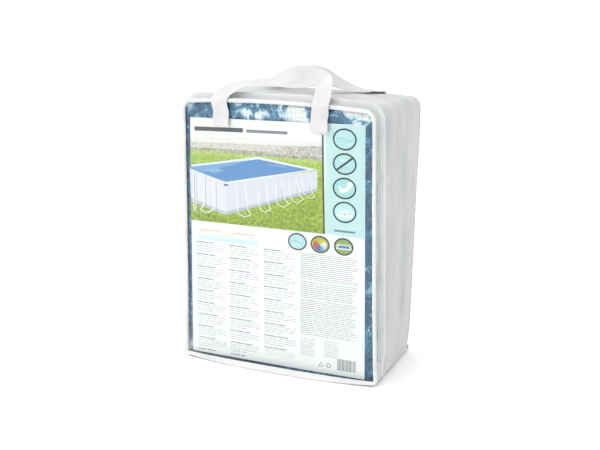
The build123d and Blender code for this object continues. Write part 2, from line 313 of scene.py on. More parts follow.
def panel(inset, nx, nz, edge=6):
    """A grid over the bag's outline: rows go up, closer together at the rounded corners, and each row's
    points spread evenly over the width of the outline at its height."""
    half, low, high = HALF - inset, inset, HEIGHT - inset
    low_r, high_r = max(FOOT_CORNER - inset, 0.5), TOP_CORNER - inset
    t = np.linspace(0, pi / 2, edge + 1)
    z = np.concatenate([low + low_r * (1 - np.cos(t)), np.linspace(low + low_r, high - high_r, nz)[1:-1],
                        high - high_r + high_r * np.sin(t)])
    wide = np.full_like(z, half)
    foot = z < low + low_r
    wide[foot] = half - low_r + np.sqrt(np.clip(low_r ** 2 - (low + low_r - z[foot]) ** 2, 0, None))
    head = z > high - high_r
    wide[head] = half - high_r + np.sqrt(np.clip(high_r ** 2 - (z[head] - high + high_r) ** 2, 0, None))
    wide[0], wide[-1] = half - low_r + 0.01, half - high_r + 0.01
    x = np.linspace(1, -1, nx)[None, :] * wide[:, None]
    return x, np.broadcast_to(z[:, None], x.shape)


def curve_through(points, count):
    """A smooth line through the given points (Catmull-Rom, centripetal), as count points evenly spaced."""
    p = np.array(points, float)
    ends = np.concatenate([[2 * p[0] - p[1]], p, [2 * p[-1] - p[-2]]])
    knots = np.concatenate([[0.0], np.cumsum(np.linalg.norm(np.diff(ends[:, :3], axis=0), axis=1) ** 0.5)])
    out = []
    for k in range(1, len(ends) - 2):
        t = np.linspace(knots[k], knots[k + 1], 24, endpoint=False)[:, None]
        a = [(knots[k - 1 + i + 1] - t) / (knots[k + i] - knots[k - 1 + i]) * ends[k - 1 + i]
             + (t - knots[k - 1 + i]) / (knots[k + i] - knots[k - 1 + i]) * ends[k + i] for i in range(3)]
        b = [(knots[k + 1 + i] - t) / (knots[k + 1 + i] - knots[k - 1 + i]) * a[i]
             + (t - knots[k - 1 + i]) / (knots[k + 1 + i] - knots[k - 1 + i]) * a[i + 1] for i in range(2)]
        out.append((knots[k + 1] - t) / (knots[k + 1] - knots[k]) * b[0]
                   + (t - knots[k]) / (knots[k + 1] - knots[k]) * b[1])
    out = np.concatenate(out + [p[-1:]])
    run = np.concatenate([[0.0], np.cumsum(np.linalg.norm(np.diff(out[:, :3], axis=0), axis=1))])
    s = np.linspace(0, run[-1], count)
    return np.stack([np.interp(s, run, out[:, k]) for k in range(out.shape[1])], -1), s


# ---------- materials ----------
def linear(code, alpha=1.0):
    """An sRGB hex colour as the linear values that shaders use."""
    c = np.array([int(code[i:i + 2], 16) for i in (0, 2, 4)]) / 255
    c = np.where(c <= 0.04045, c / 12.92, ((c + 0.055) / 1.055) ** 2.4)
    return (*map(float, c), alpha)


def add(tree, kind, inputs=None, **settings):
    """Adds one node: settings are its own options, inputs its socket values or the sockets that feed them."""
    made = tree.nodes.new(kind)
    for key, value in settings.items():
        setattr(made, key, value)
    for key, value in (inputs or {}).items():
        if isinstance(value, bpy.types.NodeSocket):
            tree.links.new(value, made.inputs[key])
        else:
            made.inputs[key].default_value = value
    return made


def finish(name):
    """A new material with its shader node, ready for colour, roughness and bump."""
    m = bpy.data.materials.new(name)
    m.use_nodes = True
    return m, m.node_tree, m.node_tree.nodes["Principled BSDF"]


def feed(tree, shader, **links):
    for key, socket in links.items():
        tree.links.new(socket, shader.inputs[key.replace("_", " ")])


def nonwoven(name, light, cool, cell=2.6, patch=0.055, bump=0.35):
    """Spunbond polypropylene: matt, point-bonded in a close dimple pattern, thin enough that the blue
    cover behind it shows as cool patches. Bond points are 1.3 mm apart in life and are drawn twice as
    coarse to show."""
    m, tree, shader = finish(name)
    shader.inputs["Roughness"].default_value = 0.86
    shader.inputs["Sheen Weight"].default_value = 0.15
    shader.inputs["Specular IOR Level"].default_value = 0.3
    cut = add(tree, "ShaderNodeUVMap", uv_map="cut").outputs["UV"]
    stretch = add(tree, "ShaderNodeMapping", {"Vector": cut, "Scale": (0.45, 1.6, 1.0)}).outputs["Vector"]
    cloud = add(tree, "ShaderNodeTexNoise", {"Vector": stretch, "Scale": 1 / patch, "Detail": 3.0,
                                             "Roughness": 0.6})
    share = add(tree, "ShaderNodeMapRange", {"Value": cloud.outputs["Fac"], "From Min": 0.42,
                                             "From Max": 0.66})
    colour = add(tree, "ShaderNodeMix", {0: share.outputs["Result"], 6: linear(light), 7: linear(cool)},
                 data_type="RGBA")
    fibre = add(tree, "ShaderNodeTexNoise", {"Vector": cut, "Scale": 900.0, "Detail": 4.0, "Roughness": 0.7})
    fleck = add(tree, "ShaderNodeMapRange", {"Value": fibre.outputs["Fac"], "From Min": 0.3, "From Max": 0.7,
                                             "To Min": 0.94, "To Max": 1.03})
    tint = add(tree, "ShaderNodeVectorMath", {0: colour.outputs[2], "Scale": fleck.outputs["Result"]},
               operation="SCALE")
    cells = add(tree, "ShaderNodeTexVoronoi", {"Vector": cut, "Scale": 1 / (cell * MM), "Randomness": 0.25})
    dimple = add(tree, "ShaderNodeMapRange", {"Value": cells.outputs["Distance"], "From Min": 0.1,
                                              "From Max": 0.45})
    relief = add(tree, "ShaderNodeMath", {0: dimple.outputs["Result"], 1: fibre.outputs["Fac"]},
                 operation="ADD")
    low = add(tree, "ShaderNodeBump", {"Height": relief.outputs[0], "Strength": bump, "Distance": 0.0004})
    feed(tree, shader, Base_Color=tint.outputs[0], Normal=low.outputs["Normal"])
    return m


def woven(name, light, shade, rib_u, rib_v, roughness, bump, patch=0.03):
    """Flat woven tape or webbing: ribs rib_u apart along its length and rib_v apart across it, in
    millimetres."""
    m, tree, shader = finish(name)
    shader.inputs["Roughness"].default_value = roughness
    shader.inputs["Sheen Weight"].default_value = 0.2
    cut = add(tree, "ShaderNodeUVMap", uv_map="cut").outputs["UV"]
    parts = add(tree, "ShaderNodeSeparateXYZ", {0: cut})
    waves = []
    for axis, rib in ((0, rib_u), (1, rib_v)):
        turn = add(tree, "ShaderNodeMath", {0: parts.outputs[axis], 1: 2 * pi / (rib * MM)},
                   operation="MULTIPLY")
        waves.append(add(tree, "ShaderNodeMath", {0: turn.outputs[0]}, operation="SINE").outputs[0])
    weave = add(tree, "ShaderNodeMath", {0: waves[0], 1: waves[1]}, operation="MULTIPLY")
    cloud = add(tree, "ShaderNodeTexNoise", {"Vector": cut, "Scale": 1 / patch, "Detail": 4.0})
    lint = add(tree, "ShaderNodeTexNoise", {"Vector": cut, "Scale": 1400.0, "Detail": 2.0})
    worn = add(tree, "ShaderNodeMath", {0: weave.outputs[0], 1: 0.12, 2: cloud.outputs["Fac"]},
               operation="MULTIPLY_ADD")
    share = add(tree, "ShaderNodeMapRange", {"Value": worn.outputs[0], "From Min": 0.3, "From Max": 0.75})
    colour = add(tree, "ShaderNodeMix", {0: share.outputs["Result"], 6: linear(shade), 7: linear(light)},
                 data_type="RGBA")
    height = add(tree, "ShaderNodeMath", {0: lint.outputs["Fac"], 1: 0.5, 2: weave.outputs[0]},
                 operation="MULTIPLY_ADD")
    low = add(tree, "ShaderNodeBump", {"Height": height.outputs[0], "Strength": bump, "Distance": 0.0003})
    feed(tree, shader, Base_Color=colour.outputs[2], Normal=low.outputs["Normal"])
    return m


# Spunbond polypropylene, hot-bonded: soft matt white, cool where it lies on the blue cover.
SPUNBOND = nonwoven("spunbond_polypropylene_white", "CACCCB", "B9BDC1", patch=0.07)
SPUNBOND_BACK = nonwoven("spunbond_polypropylene_back", "D0D3D4", "C3C8CD", patch=0.09)
# Folded strip of heavier spunbond, sewn as piping cover and bound seam: brighter, since it is doubled.
BINDING = nonwoven("spunbond_binding_folded", "DEE0DE", "D0D4D6", cell=2.2, patch=0.03, bump=0.25)
# Painted shade: a darker, violet-grey copy of the binding for the rear piping, standing in for the shade
# along the bag's back edge.
SHADED_REAR_BINDING = nonwoven("spunbond_binding_rear_painted_shade", "BDBDC9", "AEAFBC", cell=2.2, patch=0.03, bump=0.25)
# Polypropylene webbing, plain woven and calendered: smooth with a faint rib, slightly violet white.
WEBBING = woven("polypropylene_webbing_white", "D7D6D8", "CACACD", 2.2, 1.8, 0.62, 0.22)
# Knitted polyester zip tape: fine herringbone, dull white.
TAPE = woven("polyester_zip_tape", "CDD0D1", "B9BEC1", 1.1, 1.3, 0.8, 0.3)


def nylon_coil():
    """Drawn nylon wire wound into a zip coil: semi-gloss, faintly cloudy white."""
    m, tree, shader = finish("nylon_coil_white")
    shader.inputs["Roughness"].default_value = 0.38
    where = add(tree, "ShaderNodeTexCoord").outputs["Object"]
    cloud = add(tree, "ShaderNodeTexNoise", {"Vector": where, "Scale": 120.0, "Detail": 3.0})
    colour = add(tree, "ShaderNodeMix", {0: cloud.outputs["Fac"], 6: linear("D3D7DA"), 7: linear("E6E9EA")},
                 data_type="RGBA")
    feed(tree, shader, Base_Color=colour.outputs[2])
    return m


def sewing_thread():
    """Spun polyester thread, two-ply: matt with a fine slanting twist."""
    m, tree, shader = finish("polyester_thread_white")
    shader.inputs["Roughness"].default_value = 0.7
    where = add(tree, "ShaderNodeTexCoord").outputs["Object"]
    twist = add(tree, "ShaderNodeTexWave", {"Vector": where, "Scale": 900.0, "Distortion": 1.0},
                bands_direction="DIAGONAL")
    colour = add(tree, "ShaderNodeMix", {0: twist.outputs["Fac"], 6: linear("DADCE4"), 7: linear("F2F2F6")},
                 data_type="RGBA")
    low = add(tree, "ShaderNodeBump", {"Height": twist.outputs["Fac"], "Strength": 0.3, "Distance": 0.0001})
    feed(tree, shader, Base_Color=colour.outputs[2], Normal=low.outputs["Normal"])
    return m


def piping_string():
    """Twisted polypropylene string inside the piping: dull white with a coarse lay."""
    m, tree, shader = finish("polypropylene_string")
    shader.inputs["Roughness"].default_value = 0.75
    cut = add(tree, "ShaderNodeUVMap", uv_map="cut").outputs["UV"]
    twist = add(tree, "ShaderNodeTexWave", {"Vector": cut, "Scale": 60.0, "Distortion": 0.6},
                bands_direction="DIAGONAL")
    colour = add(tree, "ShaderNodeMix", {0: twist.outputs["Fac"], 6: linear("C9CCCE"), 7: linear("E4E6E6")},
                 data_type="RGBA")
    low = add(tree, "ShaderNodeBump", {"Height": twist.outputs["Fac"], "Strength": 0.5, "Distance": 0.0004})
    feed(tree, shader, Base_Color=colour.outputs[2], Normal=low.outputs["Normal"])
    return m


def bubble_film():
    """Polyethylene bubble film, blown and laminated: glossy mid blue, darker and paler in patches of cloud
    noise whose palest stops are a painted highlight, with painted glare near white in a band along the top,
    and each small cell brighter in its middle and darker at its rim."""
    m, tree, shader = finish("polyethylene_bubble_film_blue")
    shader.inputs["Roughness"].default_value = 0.22
    shader.inputs["Coat Weight"].default_value = 0.4
    shader.inputs["Coat Roughness"].default_value = 0.12
    where = add(tree, "ShaderNodeTexCoord").outputs["Object"]
    tall = add(tree, "ShaderNodeMapping", {"Vector": where, "Scale": (1.0, 0.2, 1.0)}).outputs["Vector"]
    cloud = add(tree, "ShaderNodeTexNoise", {"Vector": tall, "Scale": 42.0, "Detail": 6.0, "Roughness": 0.62,
                                             "Distortion": 1.4})
    apart = add(tree, "ShaderNodeSeparateXYZ", {"Vector": where})
    # Painted glare: in a band along the top, broad noise lifts the colour towards the ramp's near-white
    # stops.
    head = add(tree, "ShaderNodeMapRange", {"Value": apart.outputs["Z"], "From Min": 0.415, "From Max": 0.432,
                                            "To Min": 0.0, "To Max": 1.0})
    broad = add(tree, "ShaderNodeTexNoise", {"Vector": where, "Scale": 17.0, "Detail": 2.0,
                                             "Distortion": 0.8})
    glare = add(tree, "ShaderNodeMapRange", {"Value": broad.outputs["Fac"], "From Min": 0.49, "From Max": 0.6,
                                             "To Min": 0.06, "To Max": 0.24})
    painted_glare = add(tree, "ShaderNodeMath", {0: glare.outputs["Result"], 1: head.outputs["Result"]},
                operation="MULTIPLY")
    cloud_and_painted_glare = add(tree, "ShaderNodeMath", {0: cloud.outputs["Fac"], 1: painted_glare.outputs[0]}, operation="ADD")
    ramp = add(tree, "ShaderNodeValToRGB", {"Fac": cloud_and_painted_glare.outputs[0]})
    # The palest stops serve as a painted highlight on the crumpled film.
    stops = ((0.32, "1B4B6E"), (0.5, "286389"), (0.61, "4F8EB3"), (0.68, "BCDDEB"), (0.75, "F8FBFC"))
    band = ramp.color_ramp
    while len(band.elements) < len(stops):
        band.elements.new(0.5)
    for stop, (place, code) in zip(band.elements, stops):
        stop.position, stop.color = place, linear(code)
    cells = add(tree, "ShaderNodeTexVoronoi", {"Vector": where, "Scale": 150.0, "Randomness": 0.35})
    rim = add(tree, "ShaderNodeMapRange", {"Value": cells.outputs["Distance"], "From Min": 0.25,
                                           "From Max": 0.6,
                                           "To Min": 1.06, "To Max": 0.8})
    colour = add(tree, "ShaderNodeVectorMath", {0: ramp.outputs["Color"], "Scale": rim.outputs["Result"]},
                 operation="SCALE")
    low = add(tree, "ShaderNodeBump", {"Height": cloud.outputs["Fac"], "Strength": 0.5, "Distance": 0.002})
    feed(tree, shader, Base_Color=colour.outputs[0], Normal=low.outputs["Normal"])
    return m


def clear_film():
    """Soft calendered PVC film, clear: only its gloss shows, with a faint haze."""
    m, tree, shader = finish("clear_pvc_film")
    tree.nodes.remove(shader)
    where = add(tree, "ShaderNodeTexCoord").outputs["Object"]
    orange = add(tree, "ShaderNodeTexNoise", {"Vector": where, "Scale": 60.0, "Detail": 3.0})
    low = add(tree, "ShaderNodeBump", {"Height": orange.outputs["Fac"], "Strength": 0.12, "Distance": 0.002})
    gloss = add(tree, "ShaderNodeBsdfGlossy", {"Color": (1, 1, 1, 1), "Roughness": 0.06,
                                               "Normal": low.outputs["Normal"]})
    see = add(tree, "ShaderNodeBsdfTransparent", {"Color": linear("FDFEFE")})
    bend = add(tree, "ShaderNodeFresnel", {"IOR": 1.42, "Normal": low.outputs["Normal"]})
    share = add(tree, "ShaderNodeMath", {0: bend.outputs[0], 1: 0.5}, operation="MULTIPLY")
    both = add(tree, "ShaderNodeMixShader", {0: share.outputs[0], 1: see.outputs[0], 2: gloss.outputs[0]})
    tree.links.new(both.outputs[0], tree.nodes["Material Output"].inputs["Surface"])
    return m


def coated_card():
    """Bleached board, coated on the printed side: smooth white with a weak gloss and faint fibre cloud."""
    m, tree, shader = finish("coated_board_white")
    shader.inputs["Roughness"].default_value = 0.42
    where = add(tree, "ShaderNodeTexCoord").outputs["Object"]
    cloud = add(tree, "ShaderNodeTexNoise", {"Vector": where, "Scale": 30.0, "Detail": 5.0})
    colour = add(tree, "ShaderNodeMix", {0: cloud.outputs["Fac"], 6: linear("F3F6F7"), 7: linear("FBFCFC")},
                 data_type="RGBA")
    feed(tree, shader, Base_Color=colour.outputs[2])
    return m


def offset_print():
    """Offset ink under varnish: the colour of each printed area, mottled by its own share where it is
    foliage."""
    m, tree, shader = finish("offset_print_varnished")
    shader.inputs["Roughness"].default_value = 0.4
    ink = add(tree, "ShaderNodeAttribute", attribute_name="ink")
    where = add(tree, "ShaderNodeTexCoord").outputs["Object"]
    fine = add(tree, "ShaderNodeTexNoise", {"Vector": where, "Scale": 190.0, "Detail": 7.0,
                                            "Roughness": 0.85})
    tone = add(tree, "ShaderNodeMapRange", {"Value": fine.outputs["Fac"], "From Min": 0.4, "From Max": 0.6,
                                            "To Min": 0.35, "To Max": 1.6})
    mottled = add(tree, "ShaderNodeVectorMath", {0: ink.outputs["Color"], "Scale": tone.outputs["Result"]},
                  operation="SCALE")
    colour = add(tree, "ShaderNodeMix", {0: ink.outputs["Alpha"], 6: ink.outputs["Color"],
                                         7: mottled.outputs[0]},
                 data_type="RGBA")
    feed(tree, shader, Base_Color=colour.outputs[2])
    return m


def lacquered_zinc():
    """Die-cast zinc under white lacquer, as on bag sliders: smooth, glossy, a little grey at the worn
    edges."""
    m, tree, shader = finish("die_cast_zinc_white_lacquer")
    shader.inputs["Roughness"].default_value = 0.28
    shader.inputs["Coat Weight"].default_value = 0.5
    where = add(tree, "ShaderNodeTexCoord").outputs["Object"]
    wear = add(tree, "ShaderNodeTexNoise", {"Vector": where, "Scale": 400.0, "Detail": 5.0, "Roughness": 0.7})
    share = add(tree, "ShaderNodeMapRange", {"Value": wear.outputs["Fac"], "From Min": 0.62,
                                             "From Max": 0.72})
    colour = add(tree, "ShaderNodeMix", {0: share.outputs["Result"], 6: linear("E2E4E6"),
                                         7: linear("A3A7AB")},
                 data_type="RGBA")
    low = add(tree, "ShaderNodeBump", {"Height": wear.outputs["Fac"], "Strength": 0.15, "Distance": 0.0002})
    feed(tree, shader, Base_Color=colour.outputs[2], Normal=low.outputs["Normal"])
    return m


COIL = nylon_coil()
THREAD = sewing_thread()
STRING = piping_string()
BUBBLES = bubble_film()
CLEAR = clear_film()
BOARD = coated_card()
PRINT = offset_print()
ZINC = lacquered_zinc()


# ---------- piping ----------
def tube(xz, out, y, radius, turns=20):
    """A round tube along a closed path seen from the window side: circles of the given radius, one at each
    point, spanned by the outward direction and Y."""
    a = np.linspace(0, 2 * pi, turns, endpoint=False)
    r = np.broadcast_to(np.asarray(radius, float).reshape(-1, 1) if np.ndim(radius) == 1 else radius,
                        (len(xz), turns))
    centre = level(xz, y)[:, None, :]
    n = level(out, 0.0)[:, None, :]
    return centre + r[..., None] * (np.cos(a)[None, :, None] * n
                                    + np.sin(a)[None, :, None] * np.array([0.0, 1.0, 0.0]))


def piping(name, cord_name, y, radius, core, body, material, seed, edge=None):
    """Piping all round one face: a sleeve that puckers a little where it is sewn, its flat sewn-in edge where
    that shows, and the string in it."""
    xz, out, s = outline(radius, 2.5)
    swell = radius + 0.12 * ripple(s, s * 0, 14.0, seed) + 0.1 * ripple(s, s * 0, 60.0, seed + 1)
    wander = 0.5 * ripple(s, s * 0, 110.0, seed + 2)
    sleeve = tube(xz, out, y + wander, swell)
    cut = Cut().grid(settle(sleeve), around=True, closed=True)
    if edge is not None:
        cut.shell(edge, 0.4)
    cut.make(name, body, "binding", [material], [name])
    string = tube(xz, out, y + wander, core, 10)
    Cut().grid(settle(string), around=True, closed=True).make(cord_name, body, "piping_cord", [STRING],
                                                              [cord_name])


# ---------- window, sewn into the front piping ----------
def window_face(x, z):
    """The window's outer face: the settled front, tight at the rim and swelling to 2 mm, with stress folds
    that run from the sewn handle ends and the corners."""
    rim = np.clip(np.minimum(HALF - 5 - np.abs(x), np.minimum(z - 5, HEIGHT - 5 - z)) / 30.0, 0, 1)
    marks = [(-60, 432, -8, 26, 3.0, 0.9), (-30, 436, 5, 30, 2.5, -0.8), (10, 430, 14, 26, 3.5, 1.0),
             (40, 436, -12, 18, 2.5, 0.9),
             (-128, 428, 30, 16, 3.0, 0.9), (-140, 410, 62, 22, 3.0, -0.7), (112, 432, -25, 20, 3.0, 1.0),
             (140, 424, -50, 24, 3.0, 0.8), (150, 400, -80, 30, 3.0, -0.7), (-98, 392, 84, 14, 4.0, 0.7),
             (78, 392, 96, 16, 4.0, -0.6), (-150, 30, 40, 30, 4.0, 0.8), (140, 26, -38, 34, 4.0, 0.9),
             (60, 14, 4, 40, 3.0, 0.6), (-60, 16, -5, 50, 3.0, -0.6)]
    y = (WINDOW_Y - 2.0 * ease(rim) - creases(x, z, marks) * ease(rim * 3)
         - 0.35 * ripple(x, z, 90.0, 5) * ease(rim))
    return settle(np.stack([x, y, z], -1))


x, z = panel(2 * FRONT_PIPE - 0.8, 116, 140)
window = Cut().shell(window_face(x, z), WINDOW_FILM).make(
    "front_window", "front_flap", "clear_film", [CLEAR], ["front_window"])


def sewn_edge():
    """The piping's flat edge, sewn on over the window's rim: from the piping's inner side to the nearest
    point of a rectangle inside it, so that it is broad along the bottom and the lower left and narrow
    elsewhere."""
    xz = outline(2 * FRONT_PIPE - 1.2, 2.5)[0]
    x, z = xz[:, 0], xz[:, 1]
    foot = 8.0 + 4.5 * np.clip(1 - (x / 178) ** 2, 0, 1)
    near_x = np.clip(x, np.interp(z, [15, 60, 130, 220, 300], [-166.0, -168.5, -170.5, -172.5, -174.2]),
                     176.0)
    near_z = np.clip(z, foot, HEIGHT - 7.0)
    near_x, near_z = near_x + 0.2 * (x - near_x), near_z + 0.2 * (z - near_z)
    t = np.linspace(0, 1, 5)
    X = x[:, None] * (1 - t) + near_x[:, None] * t
    Z = z[:, None] * (1 - t) + near_z[:, None] * t
    ring = window_face(X, Z) - np.array([0.0, 0.45, 0.0])
    return np.concatenate([ring, ring[:1]])


piping("front_piping_sleeve", "front_piping_cord", FRONT_PIPE_Y, FRONT_PIPE, FRONT_CORD, "front_flap",
       BINDING, 3, sewn_edge())
# The rear piping takes the darker binding, a painted shade.
piping("rear_piping_sleeve", "rear_piping_cord", REAR_PIPE_Y, REAR_PIPE, REAR_CORD, "bag", SHADED_REAR_BINDING, 13)


# ---------- back panel ----------
def back_face(x, z):
    """The back panel's outer face: full in the middle, tight at the piping, with long shallow folds."""
    rim = np.clip(np.minimum(HALF - 3 - np.abs(x), np.minimum(z - 3, HEIGHT - 3 - z)) / 60.0, 0, 1)
    marks = [(-110, 300, 84, 120, 11, 1.6), (-60, 190, 95, 110, 14, -1.3), (20, 320, 88, 90, 10, 1.4),
             (80, 210, 98, 140, 12, 1.5),
             (130, 330, 80, 80, 9, -1.2), (-20, 90, 60, 60, 9, 1.1), (120, 70, -50, 50, 9, 1.2),
             (-140, 80, 55, 45, 8, 1.1),
             (0, 400, 4, 90, 8, -1.0)]
    y = (BACK_Y + 5.0 * ease(rim) + creases(x, z, marks) * ease(rim * 2)
         + 0.5 * ripple(x, z, 110.0, 8) * ease(rim))
    return settle(np.stack([x, y, z], -1))


x, z = panel(2 * REAR_PIPE - 0.8, 90, 110)
back = Cut().shell(back_face(x[:, ::-1], z), CLOTH).make(
    "back_panel", "bag", "nonwoven", [SPUNBOND_BACK], ["back_panel"])


# ---------- side strip: up one side, over the top, down the other ----------
def side_strip():
    """A long strip whose cross-section folds out in long shallow streaks where the cover's folded edges
    push it."""
    xz, out, s = arch(0.0, STRIP_FOOT, 3.6)
    y = np.linspace(WELT_Y[1] - 2.0, REAR_PIPE_Y, 60)
    S, Y = np.meshgrid(s, y, indexing="ij")
    total = s[-1]
    right = total - S
    edge = ease((Y - y[0]) / 14) * ease((y[-1] - Y) / 14)
    streaks = []
    for where in (S, right):
        streaks.append(creases(where, Y, [
            (250, -46, 2, 170, 5.0, 1.5), (150, -28, -3, 120, 6.0, -1.4), (300, -12, 2, 110, 5.5, 1.6),
            (120, 4, 3, 100, 6.0, 1.5),
            (260, 22, -2, 150, 6.5, -1.5), (180, 42, 3, 140, 6.0, 1.6), (330, 58, -3, 80, 5.5, 1.4),
            (100, 66, 2, 80, 6.0, -1.2),
            (395, -20, 70, 30, 7, 1.0), (400, 40, 110, 34, 7, -1.0), (60, -40, 40, 34, 6, 1.0),
            (50, 40, -40, 34, 6, 1.2)]))
    top = np.exp(-(((S - total / 2) / 150) ** 4))
    lift = (streaks[0] + streaks[1]) * (1 - top)
    lift = lift + creases(S - total / 2, Y, [
        (-90, -20, 10, 60, 8, 1.4), (-20, 30, -14, 70, 9, -1.5), (50, -30, 12, 60, 9, 1.3),
        (90, 40, -20, 50, 9, 1.6),
        (0, -50, 4, 80, 7, 1.2), (-60, 60, 8, 60, 8, 1.2)])
    full = (4.0 * np.sin(pi * (Y - y[0]) / (y[-1] - y[0])) ** 0.8
            * (0.45 + 0.55 * np.sin(pi * np.clip(np.minimum(S, right) / 430, 0, 1))))
    lift = edge * (lift + 0.6 * ripple(S, Y, 60.0, 21)) + full * ease((Y - y[0]) / 30)
    return settle(spread(xz, out, Y, lift))


strip = Cut().shell(side_strip(), CLOTH).make("gusset_strip", "bag", "nonwoven", [SPUNBOND], ["gusset_strip"])


# ---------- bottom panel, turned up at both sides, and the plain patches below the zip ----------
def base_panel():
    """A strip along the bottom whose two ends turn up the sides; it lies flat on the floor in the middle."""
    half = SIDE
    xz, out, s = track([(-half, STRIP_FOOT + 1), (-half, 0.0), (half, 0.0), (half, STRIP_FOOT + 1)],
                              [0, FOOT_CORNER - 1, FOOT_CORNER - 1, 0], 3.0)
    y = np.linspace(FRONT_PIPE_Y + 1.0, REAR_PIPE_Y - 1.0, 44)
    S, Y = np.meshgrid(s, y, indexing="ij")
    lift = 0.5 + 0.5 * ripple(S, Y, 70.0, 31)
    return settle(spread(xz, out, Y, lift))


bottom = Cut().shell(base_panel()[:, ::-1], CLOTH).make("bottom_panel", "bag", "nonwoven", [SPUNBOND_BACK],
                                                        ["bottom_panel"])

patches = Cut()
for side in (-1, 1):
    z, y = np.meshgrid(np.linspace(STRIP_FOOT - 1, TAPE_FOOT + 1, 12),
                       np.linspace(FRONT_PIPE_Y + 2.0, WELT_Y[0] + 1, 9), indexing="ij")
    out = SIDE - 0.4 + 0.5 * np.sin(pi * (y - y.min()) / np.ptp(y))
    patches.shell(settle(np.stack([side * out, y, z], -1))[:, ::-side], CLOTH)
patches.make("zip_end_tabs", "bag", "nonwoven", [SPUNBOND], ["zip_end_tabs"])


# ---------- folded seam that stands out behind the zip ----------
def welt():
    """A narrow rounded profile carried along the side strip's path; its height fades towards both feet,
    and it leans and wavers a little along the way."""
    xz, out, s = arch(0.0, WELT_FOOT, 2.5)
    left = np.minimum(s, s[-1] - s)
    high = 2.0 + (WELT_OUT - 2.0) * ease(left / 60.0) + 0.25 * ripple(s, s * 0, 26.0, 41)
    half = (WELT_Y[1] - WELT_Y[0]) / 2
    a = np.linspace(-pi / 2, pi / 2, 9)
    across = np.concatenate([[-0.9], [-0.95], half * 0.9 * np.sin(a) / 1.35, [0.95], [0.9]])
    rise = np.concatenate([[-0.15], [0.45], 0.86 + 0.14 * np.cos(a), [0.45], [-0.15]])
    puff = 1 + 0.12 * ripple(s, s * 0, 9.0, 43)
    lean = 0.9 * ripple(s, s * 0, 130.0, 42)
    y = (WELT_Y[0] + WELT_Y[1]) / 2 + across[None, :] * puff[:, None] * 1.15 + lean[:, None] * rise[None,
                                                                                                    :].clip(0)
    lift = rise[None, :] * high[:, None]
    return settle(spread(xz, out, y, lift))


Cut().grid(welt(), around=True, caps=True).make("mid_welt", "bag", "binding", [BINDING], ["mid_welt"])


# ---------- zip tapes and coils ----------
def band(inset, y_low, y_high, count, seed):
    """A narrow strip along the zip, bowed out a little in places on the +X side."""
    xz, out, s = arch(inset, TAPE_FOOT, 3.0)
    y = np.linspace(y_low, y_high, count)
    S, Y = np.meshgrid(s, y, indexing="ij")
    bow = 1.6 * np.exp(-(((s[-1] - S) - 185) / 20) ** 2) * np.exp(-((Y + 82) / 7) ** 2)
    lift = bow + 0.3 * ripple(S, Y, 30.0, seed)
    return settle(spread(xz, out, Y, lift))


TAPE_IN = SIDE - TAPE_X
FRONT_TAPE_EDGE = -81.0
REAR_TAPE_EDGE = -80.0
FRONT_COIL_Y = -81.6
REAR_COIL_Y = -79.4
Cut().shell(band(TAPE_IN, FRONT_PIPE_Y + 1.0, FRONT_TAPE_EDGE, 7, 51), 0.6).make(
    "front_zip_tape", "front_flap", "zip_tape", [TAPE], ["front_zip_tape"])
Cut().shell(band(TAPE_IN, REAR_TAPE_EDGE, WELT_Y[1] + 2.0, 8, 52), 0.6).make(
    "rear_zip_tape", "bag", "zip_tape", [TAPE], ["rear_zip_tape"])


def coil(y, hand):
    """One half of a coil zip: a wire of 0.35 mm radius that winds a flattened loop every 2.2 mm along the
    tape, its longer side reaching towards the other half."""
    xz, out, s = arch(TAPE_IN, TAPE_FOOT + 1, 0.5)
    turns = int(s[-1] / 2.2)
    t = np.linspace(0, turns, turns * 9 + 1)
    where = np.clip(t / turns * s[-1], 0, s[-1])
    a = 2 * pi * t
    cx = np.interp(where, s, xz[:, 0])
    cz = np.interp(where, s, xz[:, 1])
    ox = np.interp(where, s, out[:, 0])
    oz = np.interp(where, s, out[:, 1])
    bow = 1.6 * np.exp(-(((s[-1] - where) - 185) / 20) ** 2)
    lift = 0.85 + 0.5 * np.sin(a) + bow
    side = y + hand * 0.75 * np.cos(a)
    line = np.stack([cx + ox * lift, side, cz + oz * lift], -1)
    d = np.gradient(line, axis=0)
    d /= np.linalg.norm(d, axis=1, keepdims=True)
    n = np.stack([ox, 0 * ox, oz], -1)
    n -= d * np.einsum("ij,ij->i", n, d)[:, None]
    n /= np.linalg.norm(n, axis=1, keepdims=True)
    b = np.cross(d, n)
    ring = np.linspace(0, 2 * pi, 5, endpoint=False)
    return settle(line[:, None, :] + 0.35 * (np.cos(ring)[None, :, None] * n[:, None]
                                             + np.sin(ring)[None, :, None] * b[:, None]))


Cut().grid(coil(FRONT_COIL_Y, 1), around=True, caps=True).make(
    "front_zip_coil", "front_flap", "zip_coil", [COIL], ["front_zip_coil"])
Cut().grid(coil(REAR_COIL_Y, -1), around=True, caps=True).make(
    "rear_zip_coil", "bag", "zip_coil", [COIL], ["rear_zip_coil"])

for node in ("slider_body", "slider_bail", "pull_tab"):
    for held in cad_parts[node].material_slots:
        held.material = ZINC
    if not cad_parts[node].material_slots:
        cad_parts[node].data.materials.append(ZINC)


